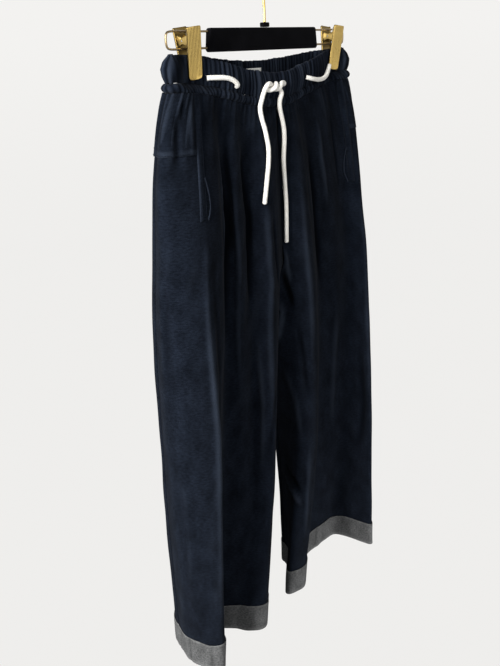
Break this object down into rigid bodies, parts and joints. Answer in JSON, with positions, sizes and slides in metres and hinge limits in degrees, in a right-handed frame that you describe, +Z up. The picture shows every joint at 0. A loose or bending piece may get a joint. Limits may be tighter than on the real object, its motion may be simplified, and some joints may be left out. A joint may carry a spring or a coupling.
{
  "type": "balloon jeans on a clip hanger",
  "caption": "Wide balloon-leg cropped trousers with a gathered drawstring waist and turned-up cuffs, hanging by the waistband from a flat bar hanger with sliding clips.",
  "frame": {"origin": "the point at the top of the hook's inner curve that bears on the rail, on the hanger's middle plane", "axes": "+Z up, -Y towards the garment's front, +X towards the wearer's left along the hanger bar"},
  "size_m": [0.4456, 0.1361, 0.9865],
  "materials": {
    "navy_twill": "soft matt twill",
    "navy_band": "soft matt twill, gathered",
    "grey_reverse": "matt slubbed reverse of the twill",
    "white_label": "plain woven tape",
    "cord": "matt braided cotton",
    "black_flock": "matt black, velvety",
    "gold_metal": "satin pale gold plating",
    "spring_steel": "dark bright steel"
  },
  "bodies": {
    "root": {"back_left": "navy_twill", "back_right": "navy_twill", "clip_back_jaw_left": "gold_metal", "clip_back_jaw_right": "gold_metal", "clip_front_jaw_left": "gold_metal", "clip_front_jaw_right": "gold_metal", "clip_pin_left": "spring_steel", "clip_pin_right": "spring_steel", "clip_spring_left": "spring_steel", "clip_spring_right": "spring_steel", "cuff_left": "grey_reverse", "cuff_right": "grey_reverse", "drawstring_knot_long": "cord", "drawstring_knot_short": "cord", "drawstring_left_stretch": "cord", "drawstring_long_end": "cord", "drawstring_right_stretch": "cord", "drawstring_short_end": "cord", "front_left": "navy_twill", "front_right": "navy_twill", "hanger_bar": "black_flock", "hanger_hook": "gold_metal", "hanger_neck": "black_flock", "label": "white_label", "pocket_edge_left": "navy_twill", "pocket_edge_right": "navy_twill", "waist_ruffle": "navy_band", "waistband": "navy_band", "wire_loop_left": "gold_metal", "wire_loop_right": "gold_metal", "yoke_left": "navy_twill", "yoke_right": "navy_twill"}
  },
  "joints": []
}
